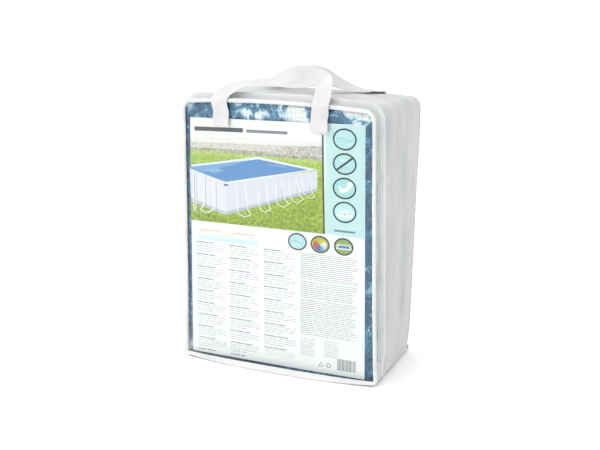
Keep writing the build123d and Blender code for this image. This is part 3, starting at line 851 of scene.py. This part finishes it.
# ---------- the folded pool cover ----------
def folds():
    """The cover folded back and forth across the bag: a flat rounded profile, as tall as the cover,
    carried along a zigzag seen from above whose ends are half circles."""
    layers = 12
    deep = COVER_Y[1] - COVER_Y[0] - 3.0
    pitch = deep / layers
    r = pitch / 2
    line = []
    for k in range(layers):
        y = COVER_Y[0] + 3.0 + (k + 0.5) * pitch
        half = COVER_HALF - pitch / 2 - 1.5
        run = np.linspace(-half + r, half - r, 30) * (1 if k % 2 else -1)
        line.append(np.stack([run, np.full(30, y)], -1))
        if k < layers - 1:
            a = np.linspace(-pi / 2, pi / 2, 9)[1:-1]
            end = run[-1]
            line.append(np.stack([end + np.sign(end) * r * np.cos(a), y + r + r * np.sin(a)], -1))
    line = np.concatenate(line)
    d = np.gradient(line, axis=0)
    d /= np.linalg.norm(d, axis=1, keepdims=True)
    n = np.stack([-d[:, 1], d[:, 0]], -1)
    run = np.concatenate([[0.0], np.cumsum(np.linalg.norm(np.diff(line, axis=0), axis=1))])
    z = np.linspace(0, 1, 26)
    up = np.concatenate([z, z[::-1]])
    thick = np.concatenate([np.ones(26), -np.ones(26)]) * np.sqrt(np.clip(1 - (2 * up - 1) ** 12, 0.02, 1))
    low, high = 2.2, COVER_TOP - 1.0
    R, U = np.meshgrid(run, up, indexing="ij")
    wob = ripple(R, U * 440, 70.0, 61)
    T = thick[None, :] * (r * 0.93 + 0.35 * wob)
    shift = 0.5 * ripple(R, U * 440, 120.0, 62)
    zz = low + (high - low) * U - 2.5 * np.abs(ripple(R, R * 0, 160.0, 63)) * U
    px = line[:, 0][:, None] + n[:, 0][:, None] * (T + shift)
    py = line[:, 1][:, None] + n[:, 1][:, None] * (T + shift)
    return settle(np.stack([px, py, zz], -1), 0.0)


def face_sheet():
    """The outermost layer behind the window: bubbles on a 10 mm pitch in offset rows, over broad crumpled
    folds, which lie flat behind the card and stand free round it."""
    wide = COVER_HALF + 4.0
    xs = np.linspace(wide, -wide, 184)
    zs = np.concatenate([np.linspace(0.0, 16.0, 11)[:-1], np.linspace(16.0, 408.0, 150)[:-1],
                         np.linspace(408.0, 446.0, 28)])
    Z, X = np.meshgrid(zs, xs, indexing="ij")
    foot = 2.0 + 4.5 * ease((60 - X) / 160)
    Z = foot + Z * (446.0 - foot) / 446.0
    X = X * (1 - 0.012 * (1 - Z / 446.0) * (X < 0))
    X = X * (1 - (18 - np.sqrt(18.0 ** 2 - np.clip(Z - 428.5, 0, 17.6) ** 2)) / wide)
    x0, x1, _, z1 = CARD
    free = ease(np.maximum.reduce([x0 + 5 - X, X - x1 + 3, Z - z1 + 4, 0 * X]) / 8)
    row = np.floor(Z / 8.66)
    bx = (X + np.where(row % 2 == 0, 5.0, 0.0)) % 10.0 - 5.0
    bz = Z % 8.66 - 4.33
    bubble = np.sqrt(np.clip(1 - (bx ** 2 + bz ** 2) / 16.0, 0, None))
    marks = [(-60, 434, 12, 30, 5, 1.5), (-20, 430, -20, 24, 5, -1.6), (30, 436, 10, 26, 5, 1.6),
             (110, 432, -8, 26, 5, 1.5),
             (-140, 432, 24, 20, 5, 1.5), (160, 330, 88, 60, 3, 1.2), (160, 180, 92, 70, 3, -1.2),
             (-168, 250, 90, 90, 2, 1.0),
             (160, 60, 88, 40, 3, 1.0), (60, 6, 2, 60, 3, 0.8), (0, 440, 0, 170, 4, 1.0)]
    lift = creases(X, Z, marks) + 0.7 * ripple(X, Z, 24.0, 71) + 1.1 * bubble
    tuck = 1.2 * ease((np.abs(X) - wide + 2.5) / 2.5) + 5.0 * ease((Z - 442.0) / 4)
    y = COVER_Y[0] + 0.9 - free * (0.8 + 0.8 * lift) + tuck
    return settle(np.stack([X, y, Z], -1), 0.0)


cover = Cut()
cover.grid(folds(), around=True, caps=True)
cover.shell(face_sheet(), 0.4)
cover = cover.make("folded_cover", "bag", "bubble_film", [BUBBLES], ["folded_cover"])


# ---------- printed card ----------
def on_card(x, z, up=0.0):
    """Places on the card's face, up millimetres proud of it: the card stands 2.7 mm clear of the floor of
    the bag and bows 1 mm forward in the middle."""
    bow = 1.0 * np.clip(1 - ((x - CARD[0]) / (CARD[1] - CARD[0]) * 2 - 1) ** 2, 0, 1)
    return np.stack([x, CARD_Y - bow - up + 0 * x, z + 2.7 + 0 * x], -1)


card = Cut()
u, v = np.meshgrid(np.linspace(1, 0, 40), np.linspace(0, 1, 52))
x = (CARD[0] - 1.5 + 4.5 * v) * (1 - u) + (CARD[1] + 4.0 - 5.5 * v) * u
z = (6.6 - 1.2 * u) * (1 - v) + (CARD[3] - 2.0 + 6.5 * u) * v
card.shell(on_card(x, z), 0.5)
card.make("insert_card", "bag", "printed_card", [BOARD], ["insert_card"])

print_cut = Cut()
THIN = 0.05


def patch(corners, ink, up=1, grain=0.0, steps=None):
    """A printed area between four corners (x, z), in turn round it: bilinear between them, a film of ink."""
    c = np.array(corners, float)
    side = lambda a, b: max(2, int(np.linalg.norm(c[a] - c[b]) / 14) + 1)
    nu, nv = steps or (max(side(0, 1), side(3, 2)), max(side(0, 3), side(1, 2)))
    u, v = np.meshgrid(np.linspace(0, 1, nu), np.linspace(0, 1, nv), indexing="ij")
    u, v = u[..., None], v[..., None]
    p = (1 - u) * (1 - v) * c[0] + u * (1 - v) * c[1] + u * v * c[2] + (1 - u) * v * c[3]
    area = 0.0
    for k in range(4):
        area += c[k, 0] * c[(k + 1) % 4, 1] - c[(k + 1) % 4, 0] * c[k, 1]
    if area < 0:
        p = p[:, ::-1]
    print_cut.shell(on_card(p[..., 0], p[..., 1], THIN * up), THIN * 0.9, ink=linear(ink, grain))


def box_patch(x0, x1, z0, z1, ink, up=1, grain=0.0):
    """An upright printed rectangle."""
    patch([(x0, z0), (x1, z0), (x1, z1), (x0, z1)], ink, up, grain)


def line(points, wide, ink, up=2):
    """A printed line of even width through points (x, z)."""
    p = np.array(points, float)
    d = np.gradient(p, axis=0)
    d /= np.linalg.norm(d, axis=1, keepdims=True)
    n = np.stack([-d[:, 1], d[:, 0]], -1) * wide / 2
    g = np.stack([p - n, p + n], 1)
    print_cut.shell(on_card(g[..., 0], g[..., 1], THIN * up), THIN * 0.9, ink=linear(ink, 0.0))


def disc(cx, cz, rx, rz, ink, up=2, grain=0.0, start=0.0, end=2 * pi):
    """A printed disc, ellipse or sector: rings from the centre out."""
    a = np.linspace(start, end, 33)
    r = np.array([0.02, 0.5, 1.0])
    R, A = np.meshgrid(r, a, indexing="ij")
    x, z = cx + rx * R * np.cos(A), cz + rz * R * np.sin(A)
    print_cut.shell(on_card(x, z, THIN * up), THIN * 0.9, ink=linear(ink, grain))


def ring(cx, cz, rx, rz, wide, ink, up=3):
    """A printed oval ring of even width."""
    a = np.linspace(0, 2 * pi, 41)
    R, A = np.meshgrid(np.array([-wide / 2, wide / 2]), a, indexing="ij")
    print_cut.shell(on_card(cx + (rx + R) * np.cos(A), cz + (rz + R) * np.sin(A), THIN * up), THIN * 0.9,
                    ink=linear(ink, 0.0))


# title: plain bars in place of words
patch([(-153, 395), (-62, 398), (-62, 405), (-153, 402)], "50565C")
patch([(-56, 398.3), (18, 400), (18, 405), (-56, 403.3)], "84898E")

# picture: hazy trees, field, pool and lawn
patch([(-161.5, 362), (79, 362), (79, 386), (-160.5, 378)], "D6D5CD", 1, 0.3)
patch([(-160.5, 376), (79, 384), (79, 392), (-160.5, 386)], "EDEDE9", 2, 0.12)
patch([(-161.5, 362), (79, 362), (79, 371), (-161.5, 367)], "B4B2A2", 2, 0.75)
patch([(-20, 366), (79, 368), (79, 386), (10, 380)], "CBC7C0", 3, 0.55)
patch([(-162, 330), (81, 330), (79, 364), (-161.5, 364)], "BAD072", 1, 0.3)
patch([(-162, 330), (81, 330), (79, 357), (-162, 355)], "A9C658", 2, 0.4)
patch([(-164, 241.5), (82.8, 243.5), (81, 336), (-162, 336)], "A0B83C", 3, 0.7)
patch([(-164, 241.5), (82.8, 243.5), (82.5, 256), (-164, 254)], "93AA33", 4, 0.85)
patch([(-60, 246), (60, 250), (76, 300), (20, 276)], "96B03A", 4, 0.8)
patch([(-162.5, 273.3), (-97, 256.6), (-94.5, 311), (-163.8, 332)], "E6E8EF", 5)
patch([(-97, 256.6), (70.5, 312.5), (70.4, 346), (-94.5, 311)], "DFE1EA", 5)
patch([(-162.5, 273.3), (-97, 256.6), (-97, 262), (-162.5, 280)], "C3C6D4", 6)
patch([(-97, 256.6), (70.5, 312.5), (70.5, 317), (-97, 262)], "BFC3D1", 6)
patch([(-163.8, 336), (-94.5, 309.5), (70.4, 347.5), (-35, 360)], "EEF3F8", 6)
patch([(-163.4, 330), (-95.5, 313), (56, 346), (-35, 356)], "6296CC", 7)
patch([(-163.4, 333), (-134, 326), (-60, 350), (-35, 356)], "7FAEDA", 8)
patch([(-134, 330), (-118, 326), (-98, 332), (-114, 336)], "8DB6DF", 9)
patch([(-20, 349), (6, 346), (22, 347.5), (0, 351)], "7FA9DA", 9)
disc(-94.8, 308, 4.2, 1.8, "4C6FA8", 9)


def wall_top(x):
    """Height of the pool wall's rim at x."""
    return float(np.interp(x, [-163.8, -94.5, 70.4], [334, 310, 347]))


def wall_foot(x):
    """Height of the pool wall's foot at x."""
    return float(np.interp(x, [-162.5, -97, 70.5], [273.3, 256.6, 312.5]))


legs = ((-156.6, -158, 269, -152, -154, 262), (-135.2, -144.2, 261, -115, -124.3, 261),
        (-75.1, -70.8, 261, -58.8, -49.5, 262),
        (-35.3, -30.8, 273, -19.3, -12.8, 275), (-4.3, 2.1, 284, 8.6, 20, 287),
        (20.8, 26.4, 293.5, 34.1, 46, 297.5),
        (43.4, 52, 303.5, 57.3, 66, 304.5))
for k, (a, a2, az, b, b2, bz) in enumerate(legs):
    thick = 1.9 - 0.12 * k
    for x, x2, z2 in ((a, a2, az), (b, b2, bz)):
        foot_z = wall_foot(x)
        line([(x + 1.0, wall_top(x) - 2), (x + 1.4, foot_z)], 0.9, "9DA1B0", 7)
        line([(x, wall_top(x) - 2), (x * 0.7 + x2 * 0.3, foot_z + 4), (x2, z2)], thick, "F6F7F8", 8)
    line([(a2 - 0.5, az), ((a2 + b2) / 2, min(az, bz) - 4.5), (b2 + 0.8, bz)], thick, "F4F4F0", 8)
    line([(a2 + 3, az - 5.5), (b2 - 1, bz - 5.5)], 1.6, "71863A", 5)
    mid = (a + b) / 2
    line([(mid, wall_top(mid) - 3), (mid + 0.4, wall_foot(mid) + 2)], 0.5, "CBCED9", 7)

# rule beside the picture, and the icon strip
line([(79.2, 404), (80.4, 340), (82.8, 243.5)], 2.7, "23282D", 6)
patch([(84.2, 244), (151.8, 242.5), (150, 423.2), (84.0, 420.2)], "C8E8E9", 1, 0.02)
DARK = "1F3A42"
for k, (cx, cz) in enumerate(((116.6, 399), (117, 360), (117.1, 321), (117.8, 282.4))):
    disc(cx, cz, 18.6, 16.0, ("BDE6E8", "B9E2E4", "A9DFE0", "C4EBEC")[k], 2)
    ring(cx, cz, 18.8, 16.1, 2.7, DARK, 5)
t = np.linspace(0, 1, 13)
line(np.stack([103 + 27 * t, 399 + 2.2 * np.sin(2 * pi * t)], -1), 1.2, "8FC3C6", 3)
line(np.stack([103 + 27 * t, 395 + 1.4 * np.sin(2 * pi * t + 1)], -1), 0.8, "A5D2D4", 3)
line([(104, 350), (130, 370)], 3.2, DARK, 4)
disc(117, 365, 9, 3, "CDEDEE", 3)
line(np.stack([107 + 19 * t, 316 + 10 * t ** 3 + 5 * np.exp(-((t - 0.05) / 0.18) ** 2)], -1), 6.5, "F7FBFB",
     3)
disc(126.5, 328, 4.6, 4.2, "F7FBFB", 4)
disc(118, 279, 14.0, 6.2, "F5FAFA", 3)
line(np.stack([105 + 26 * t, 281.5 - 2.5 * np.sin(pi * t)], -1), 0.7, "6FA9AC", 4)
line([(118, 277), (118, 283)], 0.8, "6FA9AC", 4)
patch([(100, 249.4), (136, 249.2), (136, 252.4), (100, 252.6)], "6C8E94", 2)

# comb graphic, small round pictures
box_patch(-150, -36.5, 210.5, 214.5, "CFEFEF", 2)
box_patch(-150, -36.5, 214.5, 219.0, "E3F5F5", 1)
line([(-146.7, 227.0), (-42.2, 227.0)], 1.1, "F0A98A", 2)
for x in np.linspace(-145, -44, 17):
    line([(x, 228.2), (x, 218.5)], 0.9, "F3BFA6", 3)
for k, (cx, cz, face) in enumerate(((35.7, 225.4, "BDE5E9"), (75.9, 225.1, "B9B53F"),
                                    (116.8, 225.7, "8FAE5F"))):
    disc(cx, cz, 15.0, 12.8, face, 2, 0.1 if k == 2 else 0.0)
    ring(cx, cz, 15.6, 13.3, 2.3, "2A363C", 7)
line(np.stack([25 + 22 * t, 225 + 1.5 * np.sin(2 * pi * t)], -1), 1.0, "8CC2CC", 3)
for k, code in enumerate(("F0EDE0", "D9D04A", "A9C24A", "D8573F", "C04A8A", "5B6FB5", "5AA7DA", "BFE0EE")):
    disc(75.9, 224.1, 12.0, 10.0, code, 4, start=k * pi / 4, end=(k + 1) * pi / 4)
patch([(105, 224), (129, 224), (127, 232), (107, 232)], "8FB46A", 3, 0.4)
patch([(104, 221), (130, 221), (129, 229), (105, 229)], "E9EEF3", 4)
patch([(106, 223), (128, 223), (126, 227.5), (109, 227.5)], "4E86B6", 5)


def greeked(x0, x1, z_high, z_low, ink, pitch=3.1, block=0, seed=1, bold="74797E"):
    """Rows of small plain bars in place of reading matter: word lengths vary, and headed blocks of block rows
    start with a bolder short row."""
    rng = np.random.default_rng(seed)
    z, k = z_high, 0
    while z > z_low:
        heavy = block and k % block == 0
        last = block and k % block == block - 1
        shortest, longest = (0.5, 0.75) if heavy else (0.45, 0.85) if last else (0.88, 1)
        share = rng.uniform(shortest, longest)
        half = 0.7 if heavy else 0.45
        x, stop = x0, x0 + (x1 - x0) * share
        while x < stop:
            word = min(rng.uniform(7, 24), stop - x)
            if word > 1.2:
                box_patch(x, x + word, z - half, z + half, bold if heavy else ink, 1)
            x += word + 1.3
        z -= pitch + (2.4 if last else 0.0)
        k += 1


greeked(-154, -97, 205, 12, "AFB2B6", pitch=3.8, block=5, seed=1)
greeked(-91, -33, 205, 12, "AFB2B6", pitch=3.8, block=5, seed=2)
greeked(-26, 36, 206, 34, "AFB2B6", pitch=3.8, block=5, seed=3)
for top, foot in ((207, 186), (184, 162), (159, 131), (128, 95), (92, 66)):
    greeked(41, 143, top, foot, "9DA0A4", pitch=3.3, seed=int(top))
    greeked(41, 64, top, foot + 6, "84888C", pitch=3.3, seed=int(top) + 500)
greeked(41, 70, 61, 32, "ADB0B4", pitch=3.6, seed=6)
greeked(84, 112, 61, 34, "ADB0B4", pitch=3.6, seed=7)
greeked(-24, 36, 31, 22, "CDD0D3", pitch=3.8, seed=8)
for k in range(16):
    x = 108 + k * 2.1
    box_patch(x, x + (1.2 if k % 3 else 0.8), 14.5, 34.5, "4C5054" if k < 12 else "8A8E92", 1)
line([(75, 17), (83, 17), (79, 24), (75, 17)], 1.0, "5A6064", 1)
ring(91.9, 19.9, 3.6, 3.2, 1.0, "5A6064", 1)
print_cut.make("card_print", "bag", "printed_card", [PRINT], smooth=False)


# ---------- handles ----------
STRAP = 1.5
WIDE = 28.5
FRONT_ENDS = (-100, 78)  # middles of the sewn ends, along X
REAR_ENDS = (-78, 100)
BOX_HALF = 11
BOX_FOOT = 408
BOX_TOP = 430


def strap(points, wide=WIDE):
    """A flat strap: a thin rounded profile carried along a smooth line. Each point gives x, y, z, the
    direction of the strap's width (x, y, z), and how far its middle bows out of flat."""
    path, s = curve_through(points, 230)
    c = path[:, :3]
    w = path[:, 3:6]
    d = np.gradient(c, axis=0)
    d /= np.linalg.norm(d, axis=1, keepdims=True)
    w = w - d * np.einsum("ij,ij->i", w, d)[:, None]
    w /= np.linalg.norm(w, axis=1, keepdims=True)
    n = np.cross(d, w)
    across = np.concatenate([np.linspace(-0.5, 0.5, 13), np.linspace(0.5, -0.5, 13)])
    deep = np.concatenate([np.full(13, 0.5), np.full(13, -0.5)])
    deep[[0, 12, 13, 25]] *= 0.45
    bend = path[:, 6, None] * (1 - (2 * across[None, :]) ** 2)
    g = (c[:, None, :] + w[:, None, :] * (across[None, :] * wide)[..., None]
         + n[:, None, :] * (deep[None, :] * STRAP + bend)[..., None])
    v = np.abs(np.concatenate([across[:13], across[13:], across[:1]]) + 0.5) * wide
    uv = np.stack(np.meshgrid(s, v, indexing="ij"), -1)
    return g, uv


def leg_on(face, x, z, side, off):
    """A point on a sewn handle end, off millimetres outside the panel's outer face."""
    p = face(np.array([[x]], float), np.array([[z]], float))[0, 0]
    return [p[0], p[1] + side * off, p[2]]


def handle(name, face, side, route, xs, nodes):
    """One carry handle: both ends sewn flat on the panel, the strap between them carried over the bag's
    top."""
    first, last = xs
    low = [leg_on(face, first, z, side, STRAP / 2 + 0.05) for z in (405, 418, 430)]
    high = [leg_on(face, last, z, side, STRAP / 2 + 0.05) for z in (430, 418, 406)]
    flat = [1.0, 0, 0, 0]
    back = [-1.0, 0, 0, 0]
    points = [p + flat for p in low] + route + [p + back for p in high]
    g, uv = strap(points)
    piece = Cut().grid(g, uv=uv, around=True, caps=True).make(name, None, "webbing", [WEBBING], nodes)
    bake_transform(piece)
    return piece


front_route = [
    [-100, -97.4, 444, 1, 0, 0, 0], [-100, -98.6, 452, 1, 0, 0, 0], [-98.5, -93.5, 460, 1, -0.1, -0.1, 0.3],
    [-90, -80, 469, 0.85, -0.4, -0.25, 0.8], [-70, -70, 477, 0.45, -0.85, -0.3, 1.2],
    [-44, -58, 479, 0.1, -0.95, -0.35, 1.5], [-16, -47, 482, 0, -0.8, -0.55, 2.0],
    [12, -39, 484, 0, -0.5, -0.85, 2.0], [36, -35, 487.5, -0.05, -0.35, -0.92, 1.5],
    [54, -40, 488.5, -0.35, -0.3, -0.88, 1.0], [66, -52, 486, -0.8, -0.25, -0.5, 0.8],
    [72, -69, 478, -0.97, -0.1, -0.2, 0.4], [76.5, -84, 467, -1, -0.05, -0.05, 0.2],
    [78.2, -93.5, 460, -1, 0, 0, 0.1], [78.5, -98.6, 452, -1, 0, 0, 0], [78.3, -97.4, 444, -1, 0, 0, 0]]
handle("front_carry_strap", window_face, -1, front_route, FRONT_ENDS,
                     ["front_handle_legs", "front_handle_loop"])

rear_route = [
    [-78, 99.5, 443, 1, 0, 0, 0], [-78, 100.5, 453, 1, 0, 0, 0], [-80, 93, 465, 1, 0.1, 0.05, 0.3],
    [-84, 78, 472, 0.85, 0.5, 0.15, 1.0], [-76, 58, 476, 0.5, 0.75, 0.4, 1.5],
    [-58, 40, 480, 0.2, 0.7, 0.65, 2.0],
    [-34, 27, 486, 0.05, 0.5, 0.85, 2.0], [-8, 19, 490, 0, 0.45, 0.9, 2.0], [16, 16, 491, 0, 0.45, 0.9, 1.5],
    [36, 22, 486, -0.15, 0.5, 0.8, 1.0], [52, 38, 475, -0.35, 0.6, 0.65, 1.0],
    [66, 55, 468, -0.5, 0.65, 0.35, 1.2],
    [82, 71, 461.5, -0.65, 0.6, 0.1, 0.8], [96, 87, 457, -0.85, 0.4, 0.0, 0.2],
    [101, 97, 455.4, -1, 0.1, 0, 0.0],
    [101, 101.0, 449.0, -1, 0, 0, 0], [101, 99.5, 443, -1, 0, 0, 0]]
handle("rear_carry_strap", back_face, 1, rear_route, REAR_ENDS,
                    ["rear_handle_legs", "rear_handle_loop"])


def stitch_run(cut, a, b, face, side, off, pitch=3.4):
    """A row of stitches from a to b on a sewn end: short rounded threads with a small gap after each."""
    a, b = np.array(a, float), np.array(b, float)
    count = max(2, int(np.linalg.norm(b - a) / pitch))
    t = (np.arange(count) + 0.5) / count
    mid = a + (b - a) * t[:, None]
    d = (b - a) / np.linalg.norm(b - a)
    q = np.linspace(-1, 1, 6)
    ring = np.linspace(0, 2 * pi, 6, endpoint=False)
    for m in mid:
        line_xz = m[None, :] + d[None, :] * (q * pitch * 0.4)[:, None]
        base = face(line_xz[:, 0][None, :], line_xz[:, 1][None, :])[0]
        base[:, 1] += side * (off + 0.1 - 0.25 * q ** 4)
        r = 0.3 * np.sqrt(np.clip(1 - q ** 6, 0.05, 1))
        n = np.array([d[1], 0.0, -d[0]])
        g = base[:, None, :] + r[:, None, None] * (np.cos(ring)[None, :, None] * n
                                                   + np.sin(ring)[None, :, None] * np.array([0, 1.0, 0]))
        cut.grid(g, around=True, caps=True)


def sewn_box(name, face, side, xs, body):
    """Box-and-cross stitching on both ends of one handle."""
    cut = Cut()
    for x in xs:
        left, right = x - BOX_HALF, x + BOX_HALF
        corners = [(left, BOX_FOOT), (right, BOX_FOOT), (right, BOX_TOP), (left, BOX_TOP)]
        for k in range(4):
            stitch_run(cut, corners[k], corners[(k + 1) % 4], face, side, STRAP)
        stitch_run(cut, corners[0], corners[2], face, side, STRAP)
        stitch_run(cut, corners[1], corners[3], face, side, STRAP)
    cut.make(name, body, "thread", [THREAD], [name])


sewn_box("front_handle_stitching", window_face, -1, FRONT_ENDS, "front_flap")
sewn_box("rear_handle_stitching", back_face, 1, REAR_ENDS, "bag")


# ---------- floor, light and camera ----------
def white_floor():
    """Seamless white paper: matt, very even."""
    m, _, shader = finish("white_paper_floor")
    shader.inputs["Base Color"].default_value = linear("FDFDFD")
    shader.inputs["Roughness"].default_value = 0.95
    shader.inputs["Specular IOR Level"].default_value = 0.1
    mesh = bpy.data.meshes.new("floor")
    n, far = 24, 40.0
    g = np.linspace(-far, far, n)
    X, Y = np.meshgrid(g, g, indexing="ij")
    v = np.stack([X, Y, np.full_like(X, -0.0002)], -1).reshape(-1, 3)
    i, j = np.meshgrid(np.arange(n - 1), np.arange(n - 1), indexing="ij")
    f = np.stack([i * n + j, (i + 1) * n + j, (i + 1) * n + j + 1, i * n + j + 1], -1).reshape(-1, 4)
    mesh.from_pydata(v.tolist(), [], f.tolist())
    mesh.materials.append(m)
    floor = bpy.data.objects.new("floor", mesh)
    bpy.context.scene.collection.objects.link(floor)


white_floor()
world = bpy.data.worlds.new("studio")
bpy.context.scene.world = world
world.use_nodes = True
sky = world.node_tree.nodes["Background"]
sky.inputs["Color"].default_value = linear("FEFDFC")
bright_side = Vector((-0.3, -0.36, 0.88)).normalized()
toward = add(world.node_tree, "ShaderNodeTexCoord").outputs["Generated"]
facing = add(world.node_tree, "ShaderNodeVectorMath", {0: toward, 1: bright_side}, operation="DOT_PRODUCT")
glow = add(world.node_tree, "ShaderNodeMath", {0: facing.outputs["Value"], 1: 0.87, 2: 0.81},
           operation="MULTIPLY_ADD")
level_up = add(world.node_tree, "ShaderNodeMath", {0: glow.outputs[0], 1: 0.36}, operation="MAXIMUM")
world.node_tree.links.new(level_up.outputs[0], sky.inputs["Strength"])

lamp = bpy.data.lights.new("softbox", "AREA")
lamp.shape = "RECTANGLE"
lamp.size, lamp.size_y = 0.9, 0.7
lamp.energy = 3.0
softbox = bpy.data.objects.new("softbox", lamp)
softbox.location = (-0.55, -1.5, 1.25)
softbox.rotation_euler = (softbox.location - Vector((0, 0, 0.25))).to_track_quat("Z", "Y").to_euler()
bpy.context.scene.collection.objects.link(softbox)

turn, rise, roll = radians(24.65), radians(13.97), radians(0.08)
back_dir = Vector((sin(turn) * cos(rise), -cos(turn) * cos(rise), sin(rise)))
right_dir = Vector((cos(turn), sin(turn), 0.0))
up_dir = back_dir.cross(right_dir)
right_dir, up_dir = right_dir * cos(roll) + up_dir * sin(roll), up_dir * cos(roll) - right_dir * sin(roll)
lens = bpy.data.cameras.new("camera")
lens.lens = 65.15
lens.sensor_width = 36.0
camera = bpy.data.objects.new("camera", lens)
place = Vector((-0.00046, 0.0, 0.2322)) + back_dir * 1.8583
camera.matrix_world = Matrix((
    (right_dir.x, up_dir.x, back_dir.x, place.x),
    (right_dir.y, up_dir.y, back_dir.y, place.y),
    (right_dir.z, up_dir.z, back_dir.z, place.z),
    (0, 0, 0, 1)))
bpy.context.scene.collection.objects.link(camera)
bpy.context.scene.camera = camera
bpy.context.scene.view_settings.view_transform = "Standard"
